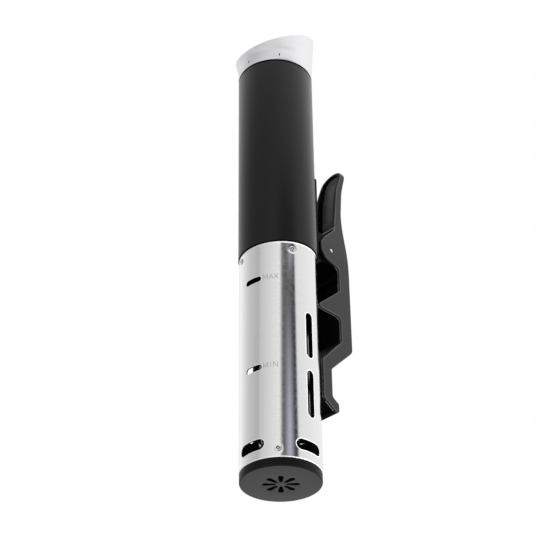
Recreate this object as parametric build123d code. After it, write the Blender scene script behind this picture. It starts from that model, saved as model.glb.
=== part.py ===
from build123d import *
import os
from math import cos, hypot, radians, sin

# Sous vide circulator: a steel heater skirt, a grip sleeve with a tilted display, and a sprung pot clip.
# Millimetres. Z runs up the stick from the flat underside of the end cap, +Y points to the pot clip
# and -Y to the side that the display leans towards.

# Clearances between pieces
slip_fit = 0.1
running_fit = 0.05
side_play = 0.5

# Steel skirt and its joint with the grip sleeve, which rises towards the clip
skirt_radius = 30.0
skirt_wall = 0.8
skirt_bottom = 6.7
joint_height = 190.9
joint_slope = 0.075
gasket_depth = 0.6
gasket_width = 1.2

# Water ports in the skirt: outlet windows, long slots, level slots
window_count = 4
window_width = 23.0
window_height = 8.3
window_middle = 18.5
slot_angle = 4.2
slot_width = 7.0
slot_length = 38.4
lower_slot_middle = 61.8
upper_slot_middle = 111.2
level_angle = -84.0
level_width = 14.3
level_height = 4.5
minimum_level = 80.8
maximum_level = 157.3

# End cap with its petal inlet, hub and screw lugs
cap_inset = 0.1
cap_rim = 3.3
cap_floor = 3.0
cap_edge = 0.8
cap_spigot = 3.0
cap_spigot_root = 1.0
lug_width = 13.0
lug_depth = 3.6
lug_rise = 4.6
petal_count = 8
petal_inner_centre = 4.8
petal_inner_radius = 0.95
petal_outer_centre = 11.45
petal_outer_radius = 1.85
hub_wall = 1.2
hub_height = 6.5

# Small screws through the skirt
wall_screw_radius = 1.4
wall_screw_head = 2.6
wall_screw_rise = 0.5
wall_screw_length = 6.0
dome_share = 0.7
tip_share = 0.9
shaft_tip_share = 0.2
cap_screw_angle = -48.0
cap_screw_count = 2
cap_screw_height = 13.6
skirt_screw_angle = -22.7
skirt_screw_count = 4
skirt_screw_drop = 7.7

# Rotor: long shaft, bush, impeller
shaft_radius = 2.5
shaft_end_gap = 0.6
bush_wall = 1.6
bush_flange = 1.2
bush_flange_depth = 1.0
thrust_gap = 0.5
impeller_radius = 16.5
impeller_height = 13.0
impeller_plate = 1.5
impeller_hub_wall = 2.8
blade_count = 6
blade_thickness = 1.4
blade_sweep = 5.0
blade_lift = 1.0
blade_root = 1.0

# Bulkhead that closes the dry side, with shaft seal and bearing
bulkhead_below = 12.5
bulkhead_above = 11.5
bulkhead_step = 3.1
oring_radius = 1.2
oring_rise = 4.5
seal_radius = 8.0
seal_depth = 5.0
bearing_depth = 6.0
web_clearance = 1.0

# Heaters and sensors
heater_radius = 3.25
heater_offset = 15.5
heater_left_front = -7.0
heater_bottom = 26.8
heater_stub = 3.0
terminal_radius = 1.2
terminal_length = 7.0
probe_radius = 2.0
probe_offset = 21.0
probe_angle = -73.0
probe_tip = 60.0
electrode_radius = 1.5
electrode_offset = 21.0
electrode_spread = 6.0
electrode_tip = 72.0
sensor_stub = 4.0

# Motor on its mount
motor_radius = 13.0
motor_length = 40.0
motor_boss_radius = 5.0
motor_boss = 3.0
motor_edge = 1.5
motor_shaft_radius = 1.6
motor_shaft_depth = 36.0
mount_height = 12.0
mount_plate = 3.0
mount_overhang = 6.5
mount_leg_radius = 3.0
mount_leg_count = 3
mount_leg_angle = 60.0
mount_hole_play = 1.5
mount_screw_gap = 1.0
mount_screw_radius = 1.2
mount_screw_head = 2.0
mount_screw_rise = 1.6
mount_screw_bite = 6.0
coupling_wall = 3.5
coupling_gap = 2.0
coupling_overlap = 4.5
coupling_split = 0.4

# Grip sleeve
sleeve_step = 0.7
sleeve_wall = 2.0
sleeve_length = 180.6

# Inner frame with the power board and its parts
rail_inset = 3.7
rail_depth = 4.0
rail_width = 10.0
groove_depth = 1.5
frame_ring = 3.0
frame_ring_width = 7.0
frame_gap = 0.5
board_thickness = 1.6
board_lift = 62.0
board_length = 92.0
capacitor_radius = 6.0
capacitor_height = 14.0
capacitor_place = 0.8
transformer_width = 20.0
transformer_length = 22.0
transformer_height = 15.0
transformer_edge = 1.5
transformer_place = 0.3
relay_width = 12.0
relay_length = 20.0
relay_height = 14.0
relay_place = 0.25
heat_sink_width = 24.0
heat_sink_length = 18.0
heat_sink_base = 2.0
heat_sink_height = 12.0
heat_sink_place = 0.7
fin_count = 5
fin_thickness = 1.2

# Top collar, cut off at a slant for the display
collar_step = 0.3
collar_band = 10.5
collar_edge = 0.7
collar_flare = 2.2
collar_rise = 32.5
display_slope = 0.503
collar_spigot = 8.0
collar_spigot_wall = 1.8
rim_edge = 0.6
lens_inset = 0.8
lens_recess = 0.4
lens_depth = 2.4
lens_seal_depth = 0.8
lens_seal_inset = 0.4
display_frame_depth = 6.0
display_frame_width = 3.6
display_board_depth = 1.6
digits_width = 32.0
digits_length = 17.0
digits_depth = 4.0
buzzer_radius = 4.5
buzzer_depth = 4.0
buzzer_offset = 8.0

# Cord gland in the back of the sleeve
gland_drop = 26.5
gland_radius = 5.0
gland_bore = 3.4
gland_flange = 2.2
gland_flange_depth = 1.6

# Clip bracket on the back of the sleeve
saddle_thickness = 1.6
saddle_width = 41.6
saddle_below_pin = 18.8
saddle_height = 80.0
saddle_corner = 7.0
ear_thickness = 2.2
ear_above = 15.5
ear_below = 9.0
ear_reach = 6.2
ear_corner = 5.5
bracket_screw_radius = 1.5
bracket_screw_head = 3.0
bracket_screw_rise = 1.4
bracket_screw_length = 6.0
bracket_screw_first = 26.0
bracket_screw_pitch = 20.0
bracket_screw_count = 2

# Clip hinge
pin_rise = 23.9
pin_reach = 15.15
pin_radius = 2.0
pin_recess = 0.9
spring_radius = 4.3
spring_wire = 0.6
spring_turns = 5
spring_pitch = 1.7
spring_end_gap = 0.4

# Clip lever, measured outwards from the skirt's surface and upwards from the hinge pin
arm_half_width = 16.0
arm_plate = 2.6
arm_web = 3.0
arm_reach = 34.7
paddle_half_width = 11.5
waist_low = -10.8
waist_high = 43.2
paddle_shoulder = 84.2
paddle_rim = 2.6
paddle_web = 1.2
paddle_tray_low = 28.5
paddle_tip_inner = (38.2, 97.0)
paddle_tip_corner = 1.2
paddle_tip_outer = (41.2, 94.4)
paddle_bend_outer = (34.7, 68.0)
paddle_bend_curve = 40.0
paddle_bend_inner = (28.3, 69.0)
paddle_hollow_curve = 60.0
paddle_foot_outer = (32.9, 45.0)
paddle_foot_curve = 60.0
paddle_foot_inner = (26.1, 47.0)
paddle_inner_curve = 80.0
neck_inner = (23.3, 25.4)
neck_corner = 10.0
boss_upper = (10.5, 12.6)
boss_reach = 4.2
boss_half_height = 4.0
boss_lower = (8.8, -9.9)
boss_corner = 6.0
window_depth = 23.4
upper_window = (-14.4, -35.3)
lower_window = (-60.1, -81.8)
window_corner = 3.5
tooth_top = (-0.4, -56.7)
tooth_foot = (0.6, -59.6)
tooth_corner = 0.8
elbow_height = -87.6
elbow_foot = -111.2
elbow_corner = 7.0
jaw_gap = 1.5
jaw_wall = 2.4
jaw_depth = 9.1
jaw_low = -138.4
jaw_high = -105.4
jaw_corner = 2.0
hook_root = -135.0
hook_back = (17.2, -139.1)
hook_tip_outer = (17.3, -146.0)
hook_tip_inner = (14.1, -146.2)
hook_wall = 2.0
hook_corner = 1.0
pad_clearance = 0.4
pad_thickness = 2.0
pad_margin = 0.4
pad_low = -134.0
pad_high = -110.5
pad_groove = 0.8
pad_groove_count = 5
stop_rib_height = -18.8
stop_rib_depth = 8.2
stop_rib_thickness = 2.2
lever_edge = 0.8

# Sizes that follow from the driving dimensions
skirt_bore = skirt_radius - skirt_wall
sleeve_radius = skirt_radius + sleeve_step
sleeve_bore = sleeve_radius - sleeve_wall
spigot_radius = sleeve_bore - slip_fit
sleeve_top = joint_height + sleeve_length
skirt_screw_height = joint_height - skirt_screw_drop
gland_height = sleeve_top - gland_drop
pin_height = joint_height + pin_rise
saddle_bottom = pin_height - saddle_below_pin
bulkhead_bottom = joint_height - bulkhead_below
bulkhead_top = joint_height + bulkhead_above
cap_radius = skirt_radius - cap_inset
cap_bore = cap_radius - cap_rim
bush_radius = shaft_radius + running_fit + bush_wall
hub_radius = bush_radius + running_fit + hub_wall
hub_top = cap_floor + hub_height
impeller_bottom = hub_top + bush_flange_depth + thrust_gap
impeller_top = impeller_bottom + impeller_height
plate_bottom = bulkhead_top + mount_height
motor_bottom = plate_bottom + mount_plate
shaft_top = bulkhead_top + coupling_gap + coupling_overlap
frame_top = sleeve_top - collar_spigot - frame_gap
board_bottom = bulkhead_top + board_lift
board_top = board_bottom + board_length
rail_inner = sleeve_bore - rail_inset - rail_depth
board_half_width = rail_inner + groove_depth - slip_fit
collar_radius = sleeve_radius + collar_step
collar_cavity = spigot_radius - collar_spigot_wall
lens_radius = collar_radius - lens_inset
collar_top = sleeve_top + collar_rise
lens_top = collar_top - lens_recess
lens_bottom = lens_top - lens_depth
display_frame_bottom = lens_bottom - display_frame_depth
display_board_bottom = display_frame_bottom - display_board_depth
pin_out = sleeve_radius + pin_reach
saddle_bore = sleeve_radius + running_fit
saddle_radius = saddle_bore + saddle_thickness
far = 20 * skirt_radius
same_place = 0.05

ON_FLOOR = (Align.CENTER, Align.CENTER, Align.MIN)


def post(radius, bottom, top, x=0, y=0):
    """An upright cylinder."""
    return Pos(x, y, bottom) * Cylinder(radius, top - bottom, align=ON_FLOOR)


def tube(outer, inner, bottom, top):
    """An upright ring."""
    return post(outer, bottom, top) - post(inner, bottom, top)


def block(x0, x1, y0, y1, z0, z1):
    """A box between two corners."""
    middle = Pos((x0 + x1) / 2, (y0 + y1) / 2, (z0 + z1) / 2)
    return middle * Box(abs(x1 - x0), abs(y1 - y0), abs(z1 - z0))


def above(height, slope):
    """Everything above a plane that rises towards +Y."""
    corners = [(-far, height - slope * far), (far, height + slope * far), (far, 2 * far), (-far, 2 * far)]
    return extrude(Plane.YZ * make_face(Polyline(corners, close=True)), amount=far, both=True)


def between(shape, low, high, slope):
    """The slice of a shape between two parallel sloping planes."""
    return (shape & above(low, slope)) - above(high, slope)


def from_side(outline, half_width):
    """A (Y, Z) outline given thickness along X."""
    return extrude(Plane.YZ * outline, amount=half_width, both=True)


def outward(angle, height, shape):
    """Place a shape that was drawn pointing along +X at an angle round the stick."""
    return Rot(0, 0, angle) * Pos(0, 0, height) * shape


def wall_slot(angle, height, width, tall):
    """A cutter for a round-ended slot through one side of a tube."""
    if width > tall:
        outline = SlotOverall(width, tall)
    else:
        outline = SlotOverall(tall, width, rotation=90)
    return outward(angle, height, extrude(Plane.YZ * outline, amount=2 * skirt_radius))


def round_screw(radius, head, rise, length):
    """A dome-headed screw that points down, seated at z = 0."""
    dome = fillet(Cylinder(head, rise, align=ON_FLOOR).faces().sort_by(Axis.Z)[-1].edges(), rise * dome_share)
    return dome + Pos(0, 0, -length) * Cylinder(radius, length, align=ON_FLOOR)


def wall_screw(angle, height):
    """One screw through the skirt, its head just clear of the steel."""
    screw = round_screw(wall_screw_radius, wall_screw_head, wall_screw_rise, wall_screw_length)
    return outward(angle, height, Pos(skirt_radius + running_fit / 2, 0, 0) * Rot(0, 90, 0) * screw)


def wall_screw_hole(angle, height):
    """A cutter for that screw's hole, open to the outside."""
    start = skirt_radius - wall_screw_length - running_fit
    hole = Cylinder(wall_screw_radius + running_fit, far, align=ON_FLOOR)
    return outward(angle, height, Pos(start, 0, 0) * Rot(0, 90, 0) * hole)


def back_rod(radius, height):
    """A rod from the axis out through the back of the sleeve."""
    return outward(90, height, Rot(0, 90, 0) * Cylinder(radius, far, align=ON_FLOOR))


def round_the_stick(first, count):
    """Angles of a pattern round the stick."""
    return [first + 360 / count * i for i in range(count)]


def in_turn(shapes):
    """Separate equal solids as one group."""
    return Compound(children=list(shapes))


cap_screw_angles = round_the_stick(cap_screw_angle, cap_screw_count)
skirt_screw_angles = round_the_stick(skirt_screw_angle, skirt_screw_count)
heater_left_legs = [(-heater_offset, heater_left_front), (-heater_offset, heater_offset)]
heater_right_legs = [(heater_offset, -heater_offset), (heater_offset, heater_offset)]
probe_place = (probe_offset * cos(radians(probe_angle)), probe_offset * sin(radians(probe_angle)))
electrode_places = [(sx * electrode_spread, electrode_offset) for sx in (-1, 1)]


# End cap: a shallow moulded cup whose floor is pierced by eight petals round a closed hub
def make_end_cap():
    disc = post(cap_radius, 0, skirt_bottom)
    disc = chamfer(disc.faces().sort_by(Axis.Z)[0].edges(), cap_edge)
    spigot_outer = skirt_bore - slip_fit
    cup = disc + tube(spigot_outer, cap_bore, skirt_bottom - cap_spigot_root, skirt_bottom + cap_spigot)
    cup -= post(cap_bore, cap_floor, skirt_bottom)
    lug_ring = tube(spigot_outer, spigot_outer - lug_depth, skirt_bottom, cap_screw_height + lug_rise)
    lug_sector = block(0, skirt_radius, -lug_width / 2, lug_width / 2, 0, cap_screw_height + lug_rise)
    for angle in cap_screw_angles:
        cup += lug_ring & (Rot(0, 0, angle) * lug_sector)
    cup += post(hub_radius, 0, hub_top)
    ends = Pos(petal_inner_centre, 0) * Circle(petal_inner_radius)
    ends += Pos(petal_outer_centre, 0) * Circle(petal_outer_radius)
    petal = extrude(make_hull(ends.edges()), amount=cap_floor)
    for angle in round_the_stick(0, petal_count):
        cup -= Rot(0, 0, angle) * petal
    cup += post(hub_radius, cap_floor, hub_top)
    cup -= post(bush_radius + running_fit, cap_floor, hub_top)
    for angle in cap_screw_angles:
        cup -= wall_screw_hole(angle, cap_screw_height)
    return cup


# Lower bush: a flanged plain bearing in the hub of the cap
def make_lower_bush():
    bush_top = hub_top + bush_flange_depth
    bush = post(bush_radius, cap_floor, hub_top) + post(bush_radius + bush_flange, hub_top, bush_top)
    return bush - post(shaft_radius + running_fit, cap_floor, bush_top)


# Skirt: a thin steel tube with its ports, cut off square below and at a slight slant above
def make_skirt_tube():
    skirt = tube(skirt_radius, skirt_bore, skirt_bottom, 2 * joint_height)
    skirt -= above(joint_height - gasket_depth / 2, joint_slope)
    for angle in round_the_stick(0, window_count):
        skirt -= wall_slot(angle, window_middle, window_width, window_height)
    for angle in (slot_angle, slot_angle + 180):
        skirt -= wall_slot(angle, lower_slot_middle, slot_width, slot_length)
        skirt -= wall_slot(angle, upper_slot_middle, slot_width, slot_length)
    for level in (minimum_level, maximum_level):
        skirt -= wall_slot(level_angle, level, level_width, level_height)
    for angle in cap_screw_angles:
        skirt -= wall_screw_hole(angle, cap_screw_height)
    for angle in skirt_screw_angles:
        skirt -= wall_screw_hole(angle, skirt_screw_height)
    return skirt


# Joint gasket: the dark line between the steel skirt and the grip sleeve
def make_joint_gasket():
    ring = tube(skirt_radius, skirt_radius - gasket_width, 0, 2 * joint_height)
    return between(ring, joint_height - gasket_depth / 2, joint_height + gasket_depth / 2, joint_slope)


# Bulkhead: a stepped plug between the wet skirt and the dry sleeve
def make_bulkhead():
    plug = post(skirt_bore - slip_fit, bulkhead_bottom, joint_height - bulkhead_step)
    plug += post(spigot_radius, joint_height - bulkhead_step, bulkhead_top)
    groove_middle = joint_height + oring_rise
    groove_half = oring_radius + slip_fit
    groove_floor = spigot_radius - 2 * oring_radius
    plug -= tube(far, groove_floor, groove_middle - groove_half, groove_middle + groove_half)
    plug -= post(seal_radius + running_fit, bulkhead_bottom, bulkhead_bottom + seal_depth)
    plug -= post(seal_radius + running_fit, bulkhead_top - bearing_depth, bulkhead_top)
    plug -= post(shaft_radius + web_clearance, bulkhead_bottom, bulkhead_top)
    for x, y in heater_left_legs + heater_right_legs:
        plug -= post(heater_radius + slip_fit, bulkhead_bottom, bulkhead_top, x, y)
    plug -= post(probe_radius + slip_fit, bulkhead_bottom, bulkhead_top, *probe_place)
    for x, y in electrode_places:
        plug -= post(electrode_radius + slip_fit, bulkhead_bottom, bulkhead_top, x, y)
    for angle in skirt_screw_angles:
        plug -= wall_screw_hole(angle, skirt_screw_height)
    for x, y in mount_leg_places:
        plug -= post(mount_screw_radius + running_fit, bulkhead_top - mount_screw_bite, bulkhead_top, x, y)
    return plug


# O-ring in the bulkhead's groove, against the bore of the sleeve
def make_bulkhead_oring():
    centre = spigot_radius + running_fit - oring_radius
    return Pos(0, 0, joint_height + oring_rise) * Torus(centre, oring_radius)


# Shaft seal and bearing in the bulkhead
def make_shaft_seal():
    return tube(seal_radius, shaft_radius + running_fit, bulkhead_bottom, bulkhead_bottom + seal_depth)


def make_shaft_bearing():
    return tube(seal_radius, shaft_radius + running_fit, bulkhead_top - bearing_depth, bulkhead_top)


# Heater: a sheathed rod bent into a U, its two legs through the bulkhead, with a pin on each end
def make_heater(legs):
    (x, front), (x, back) = legs
    half = (back - front) / 2
    bend = heater_bottom + heater_radius + half
    top = bulkhead_top + heater_stub
    start, end = (x, front, top), (x, back, top)
    low_start, low_end = (x, front, bend), (x, back, bend)
    path = Line(start, low_start) + ThreePointArc(low_start, (x, front + half, bend - half), low_end)
    path += Line(low_end, end)
    rod = sweep(Plane(start, z_dir=(0, 0, -1)) * Circle(heater_radius), path=path)
    for y in (front, back):
        rod += post(terminal_radius, top, top + terminal_length, x, y)
    return rod


# Sensors: a closed probe tube and two level electrodes hang from the bulkhead
def make_temperature_probe():
    probe = post(probe_radius, probe_tip, bulkhead_top + sensor_stub, *probe_place)
    return fillet(probe.faces().sort_by(Axis.Z)[0].edges(), probe_radius * tip_share)


def make_level_electrodes():
    rod = post(electrode_radius, electrode_tip, bulkhead_top + sensor_stub)
    rod = fillet(rod.faces().sort_by(Axis.Z)[0].edges(), electrode_radius * tip_share)
    return in_turn(Pos(x, y, 0) * rod for x, y in electrode_places)


# Rotor: shaft, impeller, coupling and the motor's own shaft turn together
def make_drive_shaft():
    shaft = post(shaft_radius, cap_floor + shaft_end_gap, shaft_top)
    return chamfer(shaft.faces().sort_by(Axis.Z)[0].edges(), shaft_radius * shaft_tip_share)


def make_impeller():
    boss = shaft_radius + running_fit + impeller_hub_wall
    wheel = post(boss, impeller_bottom, impeller_top)
    wheel += post(impeller_radius, impeller_top - impeller_plate, impeller_top)
    inner = (boss - blade_root, 0)
    middle = ((boss + impeller_radius) / 2, blade_sweep / 2)
    outer = (impeller_radius + blade_root, -blade_sweep / 2)
    curve = trace(ThreePointArc(inner, middle, outer), line_width=blade_thickness)
    blade = Pos(0, 0, impeller_bottom + blade_lift) * extrude(curve, amount=impeller_height - blade_lift)
    blade &= post(impeller_radius, impeller_bottom, impeller_top)
    for angle in round_the_stick(0, blade_count):
        wheel += Rot(0, 0, angle) * blade
    return wheel - post(shaft_radius + running_fit, impeller_bottom, impeller_top)


def make_shaft_coupling():
    low = bulkhead_top + coupling_gap
    high = low + 2 * coupling_overlap + coupling_split
    sleeve = post(shaft_radius + coupling_wall, low, high)
    sleeve -= post(shaft_radius + running_fit, low, shaft_top)
    return sleeve - post(motor_shaft_radius + running_fit, shaft_top, high)


def make_motor_shaft():
    top = motor_bottom + motor_shaft_depth - shaft_end_gap
    return post(motor_shaft_radius, shaft_top + coupling_split, top)


# Motor: a closed can on a plate with three legs, screwed to the bulkhead
mount_leg_ring = motor_radius + mount_screw_head + mount_screw_gap
mount_leg_places = [
    (mount_leg_ring * cos(radians(angle)), mount_leg_ring * sin(radians(angle)))
    for angle in round_the_stick(mount_leg_angle, mount_leg_count)
]


def make_motor():
    can = post(motor_radius, motor_bottom, motor_bottom + motor_length)
    can = fillet(can.faces().sort_by(Axis.Z)[-1].edges(), motor_edge)
    can += post(motor_boss_radius, motor_bottom + motor_length, motor_bottom + motor_length + motor_boss)
    return can - post(motor_shaft_radius + running_fit, motor_bottom, motor_bottom + motor_shaft_depth)


def make_motor_mount():
    plate = post(motor_radius + mount_overhang, plate_bottom, motor_bottom)
    for x, y in mount_leg_places:
        plate += post(mount_leg_radius, bulkhead_top, plate_bottom, x, y)
    for x, y in mount_leg_places:
        plate -= post(mount_screw_radius + running_fit, bulkhead_top, motor_bottom, x, y)
    return plate - post(shaft_radius + coupling_wall + mount_hole_play, plate_bottom, motor_bottom)


def make_mount_screws():
    length = mount_plate + mount_height + mount_screw_bite - slip_fit
    screw = round_screw(mount_screw_radius, mount_screw_head, mount_screw_rise, length)
    return in_turn(Pos(x, y, motor_bottom) * screw for x, y in mount_leg_places)


# Grip sleeve: a plain moulded tube over the dry side
def make_grip_sleeve():
    sleeve = tube(sleeve_radius, sleeve_bore, 0, sleeve_top)
    sleeve &= above(joint_height + gasket_depth / 2, joint_slope)
    sleeve -= back_rod(gland_radius + running_fit, gland_height)
    for height in bracket_screw_heights:
        sleeve -= back_rod(bracket_screw_radius + running_fit, height)
    return sleeve


# Inner frame: two grooved rails that stand on the bulkhead, joined by a ring under the collar
def make_inner_frame():
    ring_outer = sleeve_bore - 2 * slip_fit
    frame = tube(ring_outer, ring_outer - frame_ring_width, frame_top - frame_ring, frame_top)
    half = rail_width / 2
    for side in (-1, 1):
        rail_outer = rail_inner + rail_depth
        rail = block(side * rail_inner, side * rail_outer, -half, half, bulkhead_top, frame_top)
        groove_half = board_thickness / 2 + slip_fit
        groove_floor = side * (rail_inner + groove_depth)
        rail -= block(0, groove_floor, -groove_half, groove_half, board_bottom, frame_top - frame_ring)
        frame += rail
    return frame


def make_power_board():
    half = board_thickness / 2
    return block(-board_half_width, board_half_width, -half, half, board_bottom, board_top)


def on_board(side, x, z, shape):
    """Seat a part drawn standing on z = 0 on one face of the power board."""
    return Pos(x, side * board_thickness / 2, board_bottom + z) * Rot(-90 * side, 0, 0) * shape


def make_board_capacitor():
    can = Cylinder(capacitor_radius, capacitor_height, align=ON_FLOOR)
    return on_board(-1, -board_half_width / 2, board_length * capacitor_place, can)


def make_board_transformer():
    body = Box(transformer_width, transformer_length, transformer_height, align=ON_FLOOR)
    body = fillet(body.edges().filter_by(Axis.Z), transformer_edge)
    return on_board(-1, 0, board_length * transformer_place, body)


def make_board_relay():
    body = Box(relay_width, relay_length, relay_height, align=ON_FLOOR)
    return on_board(1, -board_half_width / 2, board_length * relay_place, body)


def make_heat_sink():
    sink = Box(heat_sink_width, heat_sink_length, heat_sink_base, align=ON_FLOOR)
    pitch = (heat_sink_width - fin_thickness) / (fin_count - 1)
    for i in range(fin_count):
        fin = Box(fin_thickness, heat_sink_length, heat_sink_height, align=ON_FLOOR)
        sink += Pos(i * pitch - (heat_sink_width - fin_thickness) / 2, 0, 0) * fin
    return on_board(1, 0, board_length * heat_sink_place, sink)


# Top collar: a straight band that flares into a rim on the slant of the display
def make_top_collar():
    band_top = sleeve_top + collar_band
    rise = hypot(1, display_slope)
    rim_plane = Plane((0, 0, collar_top), x_dir=(1, 0, 0), z_dir=(0, -display_slope, 1))
    rim_radius = collar_radius + collar_flare
    rim = rim_plane * Ellipse(rim_radius, rim_radius * rise)
    flare = loft([Pos(0, 0, band_top) * Circle(collar_radius), rim], ruled=True)
    flare = fillet(flare.edges().sort_by(Axis.Z)[-1], rim_edge)
    band = post(collar_radius, sleeve_top, band_top)
    band = chamfer(band.faces().sort_by(Axis.Z)[0].edges(), collar_edge)
    collar = band + flare + post(spigot_radius, sleeve_top - collar_spigot, sleeve_top + collar_edge)
    seat = lens_bottom - lens_seal_depth
    collar -= post(lens_radius + slip_fit, 0, far) & above(seat, display_slope)
    return collar - (post(collar_cavity, 0, far) - above(seat, display_slope))


# Display stack: lens on its seal, with a frame, a round board, digits and a buzzer hung below it
def make_display_lens():
    return between(post(lens_radius, 0, far), lens_bottom, lens_top, display_slope)


def make_lens_seal():
    ring = tube(lens_radius, collar_cavity + lens_seal_inset, 0, far)
    return between(ring, lens_bottom - lens_seal_depth, lens_bottom, display_slope)


def make_display_frame():
    outer = collar_cavity - slip_fit
    ring = tube(outer, outer - display_frame_width, 0, far)
    return between(ring, display_frame_bottom, lens_bottom, display_slope)


def make_display_board():
    disc = post(collar_cavity - slip_fit, 0, far)
    return between(disc, display_board_bottom, display_frame_bottom, display_slope)


def make_digit_module():
    prism = block(-digits_width / 2, digits_width / 2, -digits_length / 2, digits_length / 2, 0, far)
    return between(prism, display_frame_bottom, display_frame_bottom + digits_depth, display_slope)


def make_buzzer():
    can = post(buzzer_radius, 0, far, 0, buzzer_offset)
    return between(can, display_board_bottom - buzzer_depth, display_board_bottom, display_slope)


# Cord gland: a flanged bush with an open bore in the back of the sleeve
def make_cord_gland():
    outside = sleeve_radius + gland_flange_depth
    inside = sleeve_bore - gland_flange_depth
    flange = back_rod(gland_radius + gland_flange, gland_height)
    gland = flange & tube(outside, sleeve_radius + running_fit, 0, sleeve_top)
    gland += flange & tube(sleeve_bore - running_fit, inside, 0, sleeve_top)
    gland += back_rod(gland_radius, gland_height) & tube(outside, inside, 0, sleeve_top)
    return gland - back_rod(gland_bore, gland_height)


# Clip bracket: a curved saddle with two ears for the hinge pin
bracket_screw_low = pin_height + bracket_screw_first
bracket_screw_heights = [bracket_screw_low + bracket_screw_pitch * i for i in range(bracket_screw_count)]


def waist_half_width(height):
    """Half the width of the lever at a height above the pin, where it narrows to the paddle."""
    share = min(max((height - waist_low) / (waist_high - waist_low), 0), 1)
    return arm_half_width + (paddle_half_width - arm_half_width) * share * share * (3 - 2 * share)


ear_outer = waist_half_width(ear_above) - arm_plate - side_play


def pin_along_x(radius, half_length):
    """A cylinder on the hinge axis."""
    return Pos(0, pin_out, pin_height) * Rot(0, 90, 0) * Cylinder(radius, 2 * half_length)


def make_clip_bracket():
    saddle_middle = saddle_bottom + saddle_height / 2
    plan = Pos(0, saddle_middle) * RectangleRounded(saddle_width, saddle_height, saddle_corner)
    bracket = tube(saddle_radius, saddle_bore, 0, sleeve_top) & extrude(Plane.XZ * plan, amount=-far)
    low, high = pin_height - ear_below, pin_height + ear_above
    tip = pin_out + ear_reach
    corners = [(0, low), (tip, low), (tip, high), (0, high)]
    ear = make_face(FilletPolyline(corners, radius=[0, ear_corner, ear_corner, 0], close=True))
    ears = from_side(ear, ear_outer) - from_side(ear, ear_outer - ear_thickness)
    bracket += ears - post(saddle_bore + saddle_thickness / 2, 0, sleeve_top)
    bracket -= pin_along_x(pin_radius + running_fit, arm_half_width)
    for height in bracket_screw_heights:
        bracket -= back_rod(bracket_screw_radius + running_fit, height)
    return bracket


def make_bracket_screws():
    screw = round_screw(bracket_screw_radius, bracket_screw_head, bracket_screw_rise, bracket_screw_length)
    seat = Pos(saddle_radius + running_fit / 2, 0, 0) * Rot(0, 90, 0)
    return in_turn(outward(90, height, seat * screw) for height in bracket_screw_heights)


# Hinge pin and torsion spring
def make_clip_pin():
    return pin_along_x(pin_radius, arm_half_width - pin_recess)


def make_clip_spring():
    length = spring_turns * spring_pitch
    coil = Helix(spring_pitch, length, spring_radius)
    wire = sweep(Plane(coil @ 0, z_dir=coil % 0) * Circle(spring_wire), path=coil, is_frenet=True)
    back_leg = pin_out - saddle_radius - spring_end_gap
    front_leg = skirt_radius + arm_reach - arm_web - pin_out - spring_end_gap
    wire += Plane(coil @ 0, z_dir=-(coil % 0)) * Cylinder(spring_wire, back_leg, align=ON_FLOOR)
    wire += Plane(coil @ 1, z_dir=coil % 1) * Cylinder(spring_wire, front_leg, align=ON_FLOOR)
    return Pos(length / 2, pin_out, pin_height) * Rot(0, -90, 0) * wire


# Clip lever: a moulded channel, shaped by its side outline and by its outline from behind
def lever_point(out, up):
    return (skirt_radius + out, pin_height + up)


def lever_face(corners):
    """A side outline from points out from the skirt and up from the pin."""
    return make_face(Polyline([lever_point(out, up) for out, up in corners], close=True))


def make_lever_side():
    jaw_back = jaw_gap + jaw_depth
    corners = [
        (*paddle_tip_inner, paddle_tip_corner), (*paddle_tip_outer, paddle_tip_corner),
        (*paddle_bend_outer, paddle_bend_curve), (*paddle_foot_outer, paddle_foot_curve),
        (arm_reach, stop_rib_height, 0.0), (arm_reach, elbow_height, elbow_corner),
        (jaw_back, elbow_foot, window_corner), (jaw_back, hook_root, window_corner),
        (*hook_back, hook_corner), (*hook_tip_outer, hook_corner), (*hook_tip_inner, hook_corner),
        (jaw_gap, jaw_low, jaw_corner), (jaw_gap, jaw_high, jaw_corner),
        (window_depth, lower_window[1], window_corner), (window_depth, lower_window[0], window_corner),
        (*tooth_foot, tooth_corner), (*tooth_top, tooth_corner),
        (window_depth, upper_window[1], window_corner), (window_depth, upper_window[0], window_corner),
        (*boss_lower, boss_corner), (boss_reach, -boss_half_height, boss_corner),
        (boss_reach, boss_half_height, boss_corner), (*boss_upper, boss_corner),
        (*neck_inner, neck_corner), (*paddle_foot_inner, paddle_inner_curve),
        (*paddle_bend_inner, paddle_hollow_curve),
    ]
    points = [lever_point(out, up) for out, up, corner in corners]
    return make_face(FilletPolyline(points, radius=[corner for out, up, corner in corners], close=True))


def make_lever_back(inset):
    """Outline from behind, narrowed by an inset on every edge."""
    wide, narrow = arm_half_width - inset, paddle_half_width - inset
    low, high = pin_height + waist_low, pin_height + waist_high
    shoulder = pin_height + paddle_shoulder
    bottom = pin_height + 2 * jaw_low
    right = Line((wide, bottom), (wide, low)) + Spline((wide, low), (narrow, high), tangents=((0, 1), (0, 1)))
    right += Line((narrow, high), (narrow, shoulder))
    crown = ThreePointArc((narrow, shoulder), (0, shoulder + narrow), (-narrow, shoulder))
    left = mirror(right, about=Plane.YZ)
    return make_face(right + crown + left + Line((-wide, bottom), (wide, bottom)))


# Hollows of the lever between its two plates: the channel, the jaw behind its pad, and the paddle's tray
def make_lever_channel():
    web = arm_reach - arm_web
    lower_floor = lower_window[1] + window_corner
    return lever_face([
        (-skirt_radius, jaw_low), (jaw_seat, jaw_low), (jaw_seat, jaw_high - jaw_corner),
        (window_depth + jaw_wall, lower_floor), (web, lower_floor), (web, boss_upper[1]),
        (paddle_foot_inner[0], neck_inner[1] - jaw_wall), (neck_inner[0], neck_inner[1]),
        (-skirt_radius, neck_inner[1]),
    ])


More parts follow.
